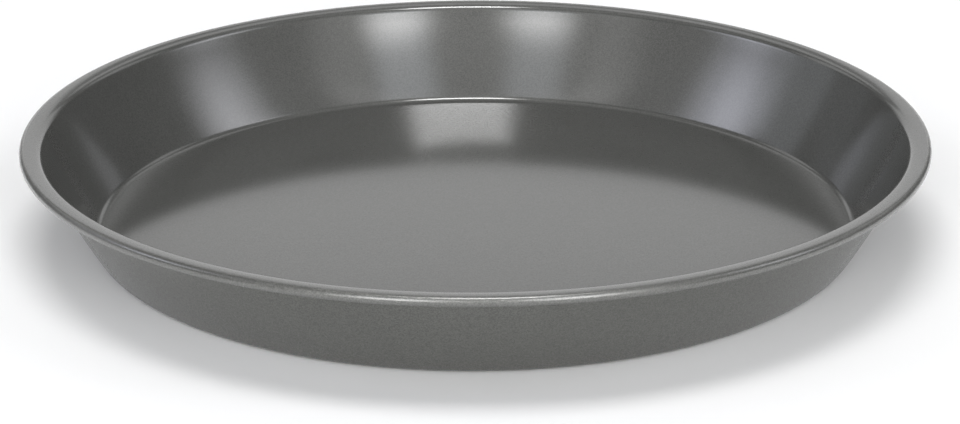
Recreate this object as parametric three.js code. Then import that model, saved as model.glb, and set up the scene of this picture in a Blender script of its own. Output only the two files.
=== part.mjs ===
// Round baking pan with a flared wall, pressed from one sheet of coated steel.
// The edge of the sheet is rolled around a stiffening wire.
// Millimetres and degrees, +Z up. The origin is the middle of the underside of the base.
import * as THREE from "three";

// Overall size
const RIM_DIAMETER = 294;
const RIM_HEIGHT = 32.6;
const SHEET = 0.6;

// Section of the sheet, radii on the side that shows from above
const CORNER_RADIUS = 3;
const FLARE_AT_FOOT = 32;
const FLARE_AT_TOP = 23.5;
const LIP_RADIUS = 3;
const FLANGE_RISE = 11;
const FLANGE_RADIUS = 18.5;
const ROLL_RADIUS = 1.6;
const ROLL_END_HEADING = -270;

// Wire inside the rolled edge
const WIRE_CLEARANCE = 0.15;
const WIRE_END_GAP = 1;

// Facets
const PAN_SIDES = 96;
const CORNER_STEPS = 4;
const WALL_STEPS = 5;
const LIP_STEPS = 5;
const FLANGE_STEPS = 3;
const ROLL_STEPS = 12;
const WIRE_QUARTER_SIDES = 3;

const radians = THREE.MathUtils.degToRad;

// The middle line of the sheet: a pen that runs straight on, or turns along an arc
class SheetPath {
  constructor(x, y) {
    this.x = x;
    this.y = y;
    this.heading = 0;
    this.points = [];
    this.mark();
  }

  mark() {
    this.points.push({ x: this.x, y: this.y, heading: this.heading });
  }

  run(length) {
    this.x += length * Math.cos(this.heading);
    this.y += length * Math.sin(this.heading);
    this.mark();
  }

  turnTo(heading, radius, steps) {
    const first = this.heading;
    const side = Math.sign(heading - first);
    const centreX = this.x - side * radius * Math.sin(first);
    const centreY = this.y + side * radius * Math.cos(first);
    for (let step = 1; step <= steps; step++) {
      this.heading = THREE.MathUtils.lerp(first, heading, step / steps);
      this.x = centreX + side * radius * Math.sin(this.heading);
      this.y = centreY - side * radius * Math.cos(this.heading);
      this.mark();
    }
  }

  // One face of the sheet, as points to the left of the middle line
  face(offset) {
    return this.points.map(
      ({ x, y, heading }) =>
        new THREE.Vector2(x - offset * Math.sin(heading), y + offset * Math.cos(heading)),
    );
  }
}

// The closed section from the axis along the underside to the cut edge and back along the top
function sheetSection() {
  const half = SHEET / 2;
  const corner = CORNER_RADIUS + half;
  const lip = LIP_RADIUS - half;
  const flange = FLANGE_RADIUS - half;
  const roll = ROLL_RADIUS - half;
  const footSlope = radians(90 - FLARE_AT_FOOT);
  const topSlope = radians(90 - FLARE_AT_TOP);
  const rise = radians(FLANGE_RISE);

  // The wall is a shallow arc that takes the height that the other stretches leave
  const cornerHeight = corner * (1 - Math.cos(footSlope));
  const lipHeight = lip * (Math.cos(rise) - Math.cos(topSlope));
  const flangeHeight = flange * (1 - Math.cos(rise));
  const wallHeight = RIM_HEIGHT - SHEET - cornerHeight - lipHeight - flangeHeight;
  const wall = wallHeight / (Math.cos(footSlope) - Math.cos(topSlope));

  // The flat base takes the radius that they leave
  const cornerReach = corner * Math.sin(footSlope);
  const wallReach = wall * (Math.sin(topSlope) - Math.sin(footSlope));
  const lipReach = lip * (Math.sin(topSlope) - Math.sin(rise));
  const flangeReach = flange * Math.sin(rise);
  const outside = RIM_DIAMETER / 2 - half;
  const baseRadius = outside - cornerReach - wallReach - lipReach - flangeReach - roll;

  const path = new SheetPath(0, half);
  path.run(baseRadius);
  path.turnTo(footSlope, corner, CORNER_STEPS);
  path.turnTo(topSlope, wall, WALL_STEPS);
  path.turnTo(rise, lip, LIP_STEPS);
  path.turnTo(0, flange, FLANGE_STEPS);
  path.turnTo(radians(ROLL_END_HEADING), roll, ROLL_STEPS);
  return [...path.face(-half), ...path.face(half).reverse()];
}

function panBody() {
  const geometry = new THREE.LatheGeometry(sheetSection(), PAN_SIDES);
  geometry.rotateX(Math.PI / 2);
  const coating = new THREE.MeshStandardMaterial({ color: "#5f6060", roughness: 0.3, metalness: 0.5 });
  const mesh = new THREE.Mesh(geometry, coating);
  mesh.name = "pan_body";
  return mesh;
}

// The wire is one length bent into a ring, with a gap between its two cut ends
class OpenRing extends THREE.Curve {
  constructor(radius, height, endGap) {
    super();
    this.radius = radius;
    this.height = height;
    this.gapAngle = endGap / radius;
  }

  getPoint(t, target = new THREE.Vector3()) {
    const angle = Math.PI / 2 + this.gapAngle / 2 + t * (2 * Math.PI - this.gapAngle);
    return target.set(this.radius * Math.cos(angle), this.radius * Math.sin(angle), this.height);
  }
}

function rimWire() {
  const ring = new OpenRing(RIM_DIAMETER / 2 - ROLL_RADIUS, RIM_HEIGHT - ROLL_RADIUS, WIRE_END_GAP);
  const section = new THREE.Shape();
  section.absarc(0, 0, ROLL_RADIUS - SHEET - WIRE_CLEARANCE, 0, 2 * Math.PI);
  const geometry = new THREE.ExtrudeGeometry(section, {
    steps: PAN_SIDES,
    curveSegments: 2 * WIRE_QUARTER_SIDES,
    extrudePath: ring,
    bevelEnabled: false,
  });
  const steel = new THREE.MeshStandardMaterial({ color: "#a3a4a5", roughness: 0.4, metalness: 1 });
  const mesh = new THREE.Mesh(geometry, steel);
  mesh.name = "rim_wire";
  return mesh;
}

const pan = new THREE.Group();
pan.add(panBody(), rimWire());

export default pan;
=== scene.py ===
"""A round baking pan of coated steel sheet in a white studio. Metres, +Z up, the pan stands at the origin."""

import math

import bpy
from mathutils import Matrix, Vector

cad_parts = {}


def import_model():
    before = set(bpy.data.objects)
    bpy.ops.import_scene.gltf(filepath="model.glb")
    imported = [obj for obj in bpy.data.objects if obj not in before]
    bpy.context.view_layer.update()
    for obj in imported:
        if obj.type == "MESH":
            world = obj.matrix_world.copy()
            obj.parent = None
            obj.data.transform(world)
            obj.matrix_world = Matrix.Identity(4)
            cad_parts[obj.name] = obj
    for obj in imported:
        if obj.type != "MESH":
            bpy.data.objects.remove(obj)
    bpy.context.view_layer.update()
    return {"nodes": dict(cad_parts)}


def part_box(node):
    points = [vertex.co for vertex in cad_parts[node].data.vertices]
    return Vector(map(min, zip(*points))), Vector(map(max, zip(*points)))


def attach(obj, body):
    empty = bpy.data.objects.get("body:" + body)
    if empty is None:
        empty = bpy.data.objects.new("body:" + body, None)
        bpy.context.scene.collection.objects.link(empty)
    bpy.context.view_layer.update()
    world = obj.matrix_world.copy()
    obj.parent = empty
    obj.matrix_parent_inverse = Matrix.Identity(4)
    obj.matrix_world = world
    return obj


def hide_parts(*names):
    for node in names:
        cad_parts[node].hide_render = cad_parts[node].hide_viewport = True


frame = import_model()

MM = 0.001

# Section of the sheet, radii on the side that shows from above
SHEET = 0.6 * MM
CORNER_RADIUS = 3.0 * MM
FLARE_AT_FOOT = math.radians(32.0)
FLARE_AT_TOP = math.radians(23.5)
LIP_RADIUS = 3.0 * MM
FLANGE_RISE = math.radians(11.0)
FLANGE_RADIUS = 18.5 * MM
ROLL_RADIUS = 1.6 * MM
ROLL_END_HEADING = math.radians(-270.0)

# Fineness of the mesh
SIDES = 384
ARC_STEP = math.radians(5.0)
RUN_STEP = 4.0 * MM
RUN_END = 0.25 * MM
SHARP_EDGE = math.radians(40.0)
ON_AXIS = 1e-6 * MM

# Places of the three coatings in the sheet's list of materials
INSIDE, OUTSIDE, EDGE = range(3)

# Flecks, clouds and orange peel of the coatings; shares are how far a value goes up and down
FLECK_SIZE = 0.3 * MM
FLECK_SHARE = 0.2
CLOUD_SIZE = 28.0 * MM
CLOUD_SHARE = 0.08
CLOUD_DETAIL = 4.0
PEEL_SIZE = 0.55 * MM
PEEL_DEPTH = 0.0008 * MM
PEEL_DETAIL = 1.0

# Drawn steel of the wire
WIRE_DARK = (0.3, 0.3, 0.29, 1.0)
WIRE_PALE = (0.5, 0.5, 0.49, 1.0)
WIRE_ROUGHNESS = (0.32, 0.5)
WIRE_MARKS_PER_METRE = 900.0

# Table top
TABLE_HALF = 8.0
TABLE_DROP = 0.2 * MM
TABLE_WHITE = (0.89, 0.89, 0.89, 1.0)
TABLE_ROUGHNESS = 0.9
TABLE_LIFT = 0.03

# Camera, with its turns in radians
CAMERA_AWAY = 890.7 * MM
CAMERA_SIDE = 1.43 * MM
CAMERA_HEIGHT = 337.48 * MM
CAMERA_PITCH = 0.3592
CAMERA_ROLL = -0.0031
SENSOR_WIDTH = 36.0
LENS = 108.46

# Studio
LAMP_DISTANCE = 6.0
WHITE = (1.0, 1.0, 1.0)
PALE_BLUE = (0.94, 0.95, 1.0)
LILAC = (0.87, 0.89, 1.0)
COOL = (0.88, 0.93, 1.0)
CRISP = (0.1, 0.1)
ROOM_GREY = (0.1, 0.1, 0.1, 1.0)
UP = Vector((0.0, 0.0, 1.0))
AWAY = Vector((0.0, 1.0, 0.0))

# Middle of a range from 0 to 1
MIDDLE = 0.5


class SheetPath:
    """The middle line of the sheet: a pen that runs straight on, or turns along an arc."""

    def __init__(self, x, y):
        self.x = x
        self.y = y
        self.heading = 0.0
        self.points = []
        self.mark()

    def mark(self):
        self.points.append((self.x, self.y, self.heading))

    def move(self, length):
        self.x += length * math.cos(self.heading)
        self.y += length * math.sin(self.heading)
        self.mark()

    def run(self, length):
        """A straight stretch, with a short step at each end so that the rounds keep their shading."""
        middle = length - 2 * RUN_END
        steps = max(1, round(middle / RUN_STEP))
        self.move(RUN_END)
        for _ in range(steps):
            self.move(middle / steps)
        self.move(RUN_END)

    def turn_to(self, heading, radius):
        first = self.heading
        side = math.copysign(1.0, heading - first)
        centre_x = self.x - side * radius * math.sin(first)
        centre_y = self.y + side * radius * math.cos(first)
        turn = abs(heading - first)
        steps = max(2, round(turn / ARC_STEP), round(turn * radius / RUN_STEP))
        for step in range(1, steps + 1):
            self.heading = first + (heading - first) * step / steps
            self.x = centre_x + side * radius * math.sin(self.heading)
            self.y = centre_y - side * radius * math.cos(self.heading)
            self.mark()

    def face(self, offset):
        """One face of the sheet, as points to the left of the middle line."""
        return [(x - offset * math.sin(h), y + offset * math.cos(h)) for x, y, h in self.points]


def sheet_path(rim_radius, rim_height):
    """The whole section: base, corner, wall, lip, flange and rolled edge."""
    half = SHEET / 2
    corner = CORNER_RADIUS + half
    lip = LIP_RADIUS - half
    flange = FLANGE_RADIUS - half
    roll = ROLL_RADIUS - half
    foot_slope = math.pi / 2 - FLARE_AT_FOOT
    top_slope = math.pi / 2 - FLARE_AT_TOP

    # The wall is a shallow arc that takes the height that the other stretches leave
    corner_height = corner * (1 - math.cos(foot_slope))
    lip_height = lip * (math.cos(FLANGE_RISE) - math.cos(top_slope))
    flange_height = flange * (1 - math.cos(FLANGE_RISE))
    wall_height = rim_height - SHEET - corner_height - lip_height - flange_height
    wall = wall_height / (math.cos(foot_slope) - math.cos(top_slope))

    # The flat base takes the radius that they leave
    corner_reach = corner * math.sin(foot_slope)
    wall_reach = wall * (math.sin(top_slope) - math.sin(foot_slope))
    lip_reach = lip * (math.sin(top_slope) - math.sin(FLANGE_RISE))
    flange_reach = flange * math.sin(FLANGE_RISE)
    base_radius = rim_radius - half - corner_reach - wall_reach - lip_reach - flange_reach - roll

    path = SheetPath(0.0, half)
    path.run(base_radius)
    path.turn_to(foot_slope, corner)
    path.turn_to(top_slope, wall)
    path.turn_to(FLANGE_RISE, lip)
    path.turn_to(0.0, flange)
    path.turn_to(ROLL_END_HEADING, roll)
    return path


def revolve(name, section, sides):
    """A closed body turned from a section that starts and ends on the axis, and the row of each face."""
    vertices = []
    rings = []
    for radius, height in section:
        if radius < ON_AXIS:
            rings.append([len(vertices)] * sides)
            vertices.append((0.0, 0.0, height))
            continue
        rings.append(list(range(len(vertices), len(vertices) + sides)))
        for side in range(sides):
            angle = 2 * math.pi * side / sides
            vertices.append((radius * math.cos(angle), radius * math.sin(angle), height))
    faces = []
    rows = []
    for row, (below, above) in enumerate(zip(rings, rings[1:])):
        for side in range(sides):
            after = (side + 1) % sides
            corners = [below[side], below[after], above[after], above[side]]
            faces.append(list(dict.fromkeys(corners)))
            rows.append(row)
    mesh = bpy.data.meshes.new(name)
    mesh.from_pydata(vertices, [], faces)
    mesh.shade_smooth()
    mesh.set_sharp_from_angle(angle=SHARP_EDGE)
    body = bpy.data.objects.new(name, mesh)
    bpy.context.scene.collection.objects.link(body)
    return body, rows


def new_material(name):
    material = bpy.data.materials.new(name)
    material.use_nodes = True
    return material, material.node_tree


def link_all(tree, *pairs):
    for source, target in pairs:
        tree.links.new(source, target)


def math_node(tree, operation):
    node = tree.nodes.new("ShaderNodeMath")
    node.operation = operation
    return node


def vector_node(tree, operation):
    node = tree.nodes.new("ShaderNodeVectorMath")
    node.operation = operation
    return node


def range_node(tree, low, high):
    """Stretches a value from 0 to 1 over another range."""
    node = tree.nodes.new("ShaderNodeMapRange")
    node.inputs["To Min"].default_value = low
    node.inputs["To Max"].default_value = high
    return node


def lean_flecks(tree, flecks, tilt):
    """Each metal fleck under the clear coat leans its own way."""
    centred = vector_node(tree, "SUBTRACT")
    centred.inputs[1].default_value = (MIDDLE, MIDDLE, MIDDLE)
    lean = vector_node(tree, "SCALE")
    lean.inputs["Scale"].default_value = tilt
    surface = tree.nodes.new("ShaderNodeNewGeometry")
    leaning = vector_node(tree, "ADD")
    unit = vector_node(tree, "NORMALIZE")
    link_all(
        tree,
        (flecks.outputs["Color"], centred.inputs[0]),
        (centred.outputs["Vector"], lean.inputs[0]),
        (surface.outputs["Normal"], leaning.inputs[0]),
        (lean.outputs["Vector"], leaning.inputs[1]),
        (leaning.outputs["Vector"], unit.inputs[0]),
        (unit.outputs["Vector"], tree.nodes["Principled BSDF"].inputs["Normal"]),
    )


def shade_flecks(tree, place, flecks, colour, roughness):
    """Colour and gloss wander a little over the sheet, and each fleck has its own shade."""
    clouds = tree.nodes.new("ShaderNodeTexNoise")
    clouds.inputs["Scale"].default_value = 1 / CLOUD_SIZE
    clouds.inputs["Detail"].default_value = CLOUD_DETAIL
    shade = tree.nodes.new("ShaderNodeMix")
    shade.data_type = "RGBA"
    shade.inputs["A"].default_value = tuple((1 - CLOUD_SHARE) * c for c in colour) + (1.0,)
    shade.inputs["B"].default_value = tuple((1 + CLOUD_SHARE) * c for c in colour) + (1.0,)
    gloss = range_node(tree, roughness * (1 - CLOUD_SHARE), roughness * (1 + CLOUD_SHARE))
    channels = tree.nodes.new("ShaderNodeSeparateColor")
    grain = range_node(tree, 1 - FLECK_SHARE, 1 + FLECK_SHARE)
    speckled = tree.nodes.new("ShaderNodeMix")
    speckled.data_type = "RGBA"
    speckled.blend_type = "MULTIPLY"
    speckled.inputs["Factor"].default_value = 1.0
    shader = tree.nodes["Principled BSDF"]
    link_all(
        tree,
        (place.outputs["Object"], clouds.inputs["Vector"]),
        (clouds.outputs["Fac"], shade.inputs["Factor"]),
        (clouds.outputs["Fac"], gloss.inputs["Value"]),
        (flecks.outputs["Color"], channels.inputs["Color"]),
        (channels.outputs["Red"], grain.inputs["Value"]),
        (shade.outputs["Result"], speckled.inputs["A"]),
        (grain.outputs["Result"], speckled.inputs["B"]),
        (speckled.outputs["Result"], shader.inputs["Base Color"]),
        (gloss.outputs["Result"], shader.inputs["Roughness"]),
    )


def orange_peel(tree, place):
    """The fine ripple of the clear coat."""
    ripple = tree.nodes.new("ShaderNodeTexNoise")
    ripple.inputs["Scale"].default_value = 1 / PEEL_SIZE
    ripple.inputs["Detail"].default_value = PEEL_DETAIL
    bump = tree.nodes.new("ShaderNodeBump")
    bump.inputs["Strength"].default_value = 1.0
    bump.inputs["Distance"].default_value = PEEL_DEPTH
    link_all(
        tree,
        (place.outputs["Object"], ripple.inputs["Vector"]),
        (ripple.outputs["Fac"], bump.inputs["Height"]),
        (bump.outputs["Normal"], tree.nodes["Principled BSDF"].inputs["Coat Normal"]),
    )


def coating(name, colour, metal, roughness, coat, coat_ior, coat_roughness, fleck_tilt):
    """Dark lacquer: pigment and metal flecks under a clear coat with a fine orange peel."""
    material, tree = new_material(name)
    shader = tree.nodes["Principled BSDF"]
    shader.inputs["Metallic"].default_value = metal
    shader.inputs["Specular IOR Level"].default_value = 0.0
    shader.inputs["Coat Weight"].default_value = coat
    shader.inputs["Coat Roughness"].default_value = coat_roughness
    shader.inputs["Coat IOR"].default_value = coat_ior
    place = tree.nodes.new("ShaderNodeTexCoord")
    flecks = tree.nodes.new("ShaderNodeTexVoronoi")
    flecks.inputs["Scale"].default_value = 1 / FLECK_SIZE
    tree.links.new(place.outputs["Object"], flecks.inputs["Vector"])
    lean_flecks(tree, flecks, fleck_tilt)
    shade_flecks(tree, place, flecks, colour, roughness)
    orange_peel(tree, place)
    return material


def inside_coating():
    """Smooth satin coating of everything that shows from above."""
    return coating(
        "inside_coating",
        colour=(0.084, 0.0845, 0.08),
        metal=0.3,
        roughness=0.4,
        coat=1.0,
        coat_ior=1.75,
        coat_roughness=0.125,
        fleck_tilt=0.04,
    )


def outside_coating():
    """Duller, grainier coating of the underside and the outside of the wall."""
    return coating(
        "outside_coating",
        colour=(0.124, 0.1245, 0.117),
        metal=0.45,
        roughness=0.35,
        coat=0.8,
        coat_ior=1.5,
        coat_roughness=0.16,
        fleck_tilt=0.25,
    )


def edge_coating():
    """Coating of the rolled edge, stretched and grainy."""
    return coating(
        "edge_coating",
        colour=(0.13, 0.1305, 0.123),
        metal=0.6,
        roughness=0.35,
        coat=1.0,
        coat_ior=1.75,
        coat_roughness=0.24,
        fleck_tilt=0.3,
    )


def wire_steel():
    """Plain drawn steel with fine marks."""
    material, tree = new_material("wire_steel")
    shader = tree.nodes["Principled BSDF"]
    shader.inputs["Metallic"].default_value = 1.0
    place = tree.nodes.new("ShaderNodeTexCoord")
    marks = tree.nodes.new("ShaderNodeTexNoise")
    marks.inputs["Scale"].default_value = WIRE_MARKS_PER_METRE
    tone = tree.nodes.new("ShaderNodeValToRGB")
    tone.color_ramp.elements[0].color = WIRE_DARK
    tone.color_ramp.elements[1].color = WIRE_PALE
    gloss = range_node(tree, *WIRE_ROUGHNESS)
    link_all(
        tree,
        (place.outputs["Object"], marks.inputs["Vector"]),
        (marks.outputs["Fac"], tone.inputs["Fac"]),
        (marks.outputs["Fac"], gloss.inputs["Value"]),
        (tone.outputs["Color"], shader.inputs["Base Color"]),
        (gloss.outputs["Result"], shader.inputs["Roughness"]),
    )
    return material


def pan_shell():
    """The pressed sheet with its rolled edge, in place of the plain solid."""
    _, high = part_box("pan_body")
    path = sheet_path(high.x, high.z)
    half = SHEET / 2
    section = path.face(-half) + path.face(half)[::-1]
    shell, rows = revolve("pan_shell", section, SIDES)
    shell.data.materials.append(inside_coating())
    shell.data.materials.append(outside_coating())
    shell.data.materials.append(edge_coating())

    # The rows run out along the underside, round the cut edge of the sheet and back along the top
    roll_start = next(i for i, (_, _, heading) in enumerate(path.points) if heading < 0)
    first_edge = roll_start - 1
    first_inside = len(section) - roll_start - 1
    for face, row in zip(shell.data.polygons, rows):
        if row < first_edge:
            face.material_index = OUTSIDE
        elif row < first_inside:
            face.material_index = EDGE
        else:
            face.material_index = INSIDE
    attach(shell, "root")
    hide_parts("pan_body")


def rim_wire():
    """The wire inside the rolled edge keeps its solid and gets its steel."""
    materials = frame["nodes"]["rim_wire"].data.materials
    materials.clear()
    materials.append(wire_steel())


def table_white():
    """Matt white. What the camera and the metal see of it is lifted a little."""
    material, tree = new_material("table_white")
    shader = tree.nodes["Principled BSDF"]
    shader.inputs["Base Color"].default_value = TABLE_WHITE
    shader.inputs["Roughness"].default_value = TABLE_ROUGHNESS
    shader.inputs["Specular IOR Level"].default_value = 0.0
    shader.inputs["Emission Color"].default_value = WHITE + (1.0,)
    path = tree.nodes.new("ShaderNodeLightPath")
    seen = math_node(tree, "MAXIMUM")
    lift = math_node(tree, "MULTIPLY")
    lift.inputs[1].default_value = TABLE_LIFT
    link_all(
        tree,
        (path.outputs["Is Camera Ray"], seen.inputs[0]),
        (path.outputs["Is Glossy Ray"], seen.inputs[1]),
        (seen.outputs["Value"], lift.inputs[0]),
        (lift.outputs["Value"], shader.inputs["Emission Strength"]),
    )
    return material


def floor():
    """White table top, just below the base, that keeps the shadow."""
    mesh = bpy.data.meshes.new("floor")
    signs = [(-1, -1), (1, -1), (1, 1), (-1, 1)]
    corners = [(x * TABLE_HALF, y * TABLE_HALF, 0.0) for x, y in signs]
    mesh.from_pydata(corners, [], [tuple(range(len(corners)))])
    table = bpy.data.objects.new("floor", mesh)
    bpy.context.scene.collection.objects.link(table)
    table.location.z = -TABLE_DROP
    mesh.materials.append(table_white())


def fade_edges(lamp, soft):
    """Dims a lamp towards its sides and its ends, over a share of its half width and its half height."""
    lamp.use_nodes = True
    tree = lamp.node_tree
    place = tree.nodes.new("ShaderNodeNewGeometry")
    across = tree.nodes.new("ShaderNodeSeparateXYZ")
    glow = math_node(tree, "MULTIPLY")
    tree.links.new(place.outputs["Parametric"], across.inputs["Vector"])
    for axis, share in enumerate(soft):
        off_middle = math_node(tree, "SUBTRACT")
        off_middle.inputs[1].default_value = MIDDLE
        distance = math_node(tree, "ABSOLUTE")
        fade = range_node(tree, 1.0, 0.0)
        fade.interpolation_type = "SMOOTHSTEP"
        fade.inputs["From Min"].default_value = MIDDLE * (1 - share)
        fade.inputs["From Max"].default_value = MIDDLE
        link_all(
            tree,
            (across.outputs[axis], off_middle.inputs[0]),
            (off_middle.outputs["Value"], distance.inputs[0]),
            (distance.outputs["Value"], fade.inputs["Value"]),
            (fade.outputs["Result"], glow.inputs[axis]),
        )
    tree.links.new(glow.outputs["Value"], tree.nodes["Emission"].inputs["Strength"])


def softbox(name, at, size, radiance, colour=WHITE, soft=CRISP, upright=UP):
    """A flat lamp that faces the pan, in degrees seen from there.

    Its place is an azimuth, from the camera's side to the right, and an elevation.
    Its size is a width and a height.
    """
    azimuth, elevation = map(math.radians, at)
    width, height = map(math.radians, size)
    facing = Vector((
        math.sin(azimuth) * math.cos(elevation),
        -math.cos(azimuth) * math.cos(elevation),
        math.sin(elevation),
    ))
    right = upright.cross(facing).normalized()
    axes = Matrix((right, facing.cross(right), facing)).transposed()
    lamp = bpy.data.lights.new(name, "AREA")
    lamp.shape = "RECTANGLE"
    lamp.size = 2 * LAMP_DISTANCE * math.tan(width / 2)
    lamp.size_y = 2 * LAMP_DISTANCE * math.tan(height / 2)
    lamp.energy = radiance * math.pi * lamp.size * lamp.size_y
    lamp.color = colour
    fade_edges(lamp, soft)
    holder = bpy.data.objects.new(name, lamp)
    holder.matrix_world = Matrix.Translation(LAMP_DISTANCE * facing) @ axes.to_4x4()
    holder.visible_camera = False
    bpy.context.scene.collection.objects.link(holder)
    return holder


def overhead_lights():
    # A softbox and its weaker end, which show as the bright patch mirrored in the base
    patch = softbox(
        "top_softbox", at=(14, 80.6), size=(19.6, 17.5), radiance=13.2, soft=(0.35, 0.25), upright=AWAY
    )
    patch.visible_diffuse = False
    patch_end = softbox(
        "top_softbox_end", at=(31, 86.7), size=(15.5, 5.5), radiance=5.0, soft=(0.3, 0.3), upright=AWAY
    )
    patch_end.visible_diffuse = False

    # Light from the ceiling on the table and the pigment, which the metal doesn't mirror
    bounce = softbox(
        "ceiling_bounce", at=(-150, 85), size=(38, 28), radiance=6.4, soft=(0.4, 0.4), upright=AWAY
    )
    bounce.visible_glossy = False
    softbox("ceiling_panel", at=(180, 78), size=(84, 36), radiance=0.24, soft=(0.4, 0.4), upright=AWAY)


def front_lights():
    # Two tall lamps behind the camera, each with a cooler glow above it
    softbox("right_lamp", at=(23.6, 16.5), size=(28, 43), radiance=8.0, soft=(0.9, 0.46))
    softbox("right_lamp_glow", at=(24.5, 41), size=(22, 20), radiance=1.4, colour=COOL, soft=(0.7, 0.4))
    softbox("left_lamp", at=(-19, 16.5), size=(28.5, 43), radiance=7.6, soft=(0.9, 0.46))
    softbox("left_lamp_glow", at=(-20.5, 41), size=(22, 20), radiance=1.1, colour=COOL, soft=(0.7, 0.4))

    # Pale walls around them
    softbox("front_panel", at=(0, 36), size=(94, 40), radiance=0.45, soft=(0.3, 0.2))
    softbox("front_high_panel", at=(0, 58), size=(80, 22), radiance=0.48, soft=(0.3, 0.4))
    softbox("front_right_panel", at=(60, 34), size=(36, 26), radiance=0.24)
    softbox("front_left_panel", at=(-60, 34), size=(36, 26), radiance=0.34)


def side_lights():
    softbox("right_softbox", at=(88, 36), size=(30, 40), radiance=3.25, colour=PALE_BLUE, soft=(1.0, 0.8))
    softbox("left_softbox", at=(-90, 30), size=(33, 35), radiance=3.6, colour=LILAC, soft=(1.0, 1.0))
    softbox("left_fill", at=(-108, 18), size=(24, 20), radiance=0.46, colour=COOL, soft=(0.4, 0.3))
    softbox("left_low_fill", at=(-127, 9), size=(22, 16), radiance=0.13, colour=COOL, soft=(0.6, 0.4))


def back_lights():
    softbox("back_panel", at=(180, 11.5), size=(66, 27), radiance=0.84, soft=(0.55, 0.1))
    softbox("back_right_panel", at=(130, 33), size=(34, 22), radiance=0.8, soft=(0.6, 0.6))
    softbox("back_left_panel", at=(-130, 33), size=(34, 22), radiance=0.8, soft=(0.6, 0.6))
    softbox("back_ceiling_panel", at=(180, 43), size=(52, 32), radiance=0.8, soft=(0.6, 0.4))


def world():
    """The dim grey of the room between the lamps."""
    room = bpy.data.worlds.new("studio")
    room.use_nodes = True
    background = room.node_tree.nodes["Background"]
    background.inputs["Color"].default_value = ROOM_GREY
    background.inputs["Strength"].default_value = 1.0
    bpy.context.scene.world = room


def camera():
    right = Vector((1.0, 0.0, 0.0))
    forward = Vector((0.0, math.cos(CAMERA_PITCH), -math.sin(CAMERA_PITCH)))
    up = right.cross(forward)
    rolled_right = math.cos(CAMERA_ROLL) * right + math.sin(CAMERA_ROLL) * up
    rolled_up = math.cos(CAMERA_ROLL) * up - math.sin(CAMERA_ROLL) * right
    turn = Matrix((rolled_right, rolled_up, -forward)).transposed()
    data = bpy.data.cameras.new("camera")
    data.sensor_width = SENSOR_WIDTH
    data.lens = LENS
    holder = bpy.data.objects.new("camera", data)
    holder.matrix_world = Matrix.Translation((CAMERA_SIDE, -CAMERA_AWAY, CAMERA_HEIGHT)) @ turn.to_4x4()
    bpy.context.scene.collection.objects.link(holder)
    bpy.context.scene.camera = holder


camera()
pan_shell()
rim_wire()
floor()
overhead_lights()
front_lights()
side_lights()
back_lights()
world()
bpy.context.scene.view_settings.view_transform = "Standard"
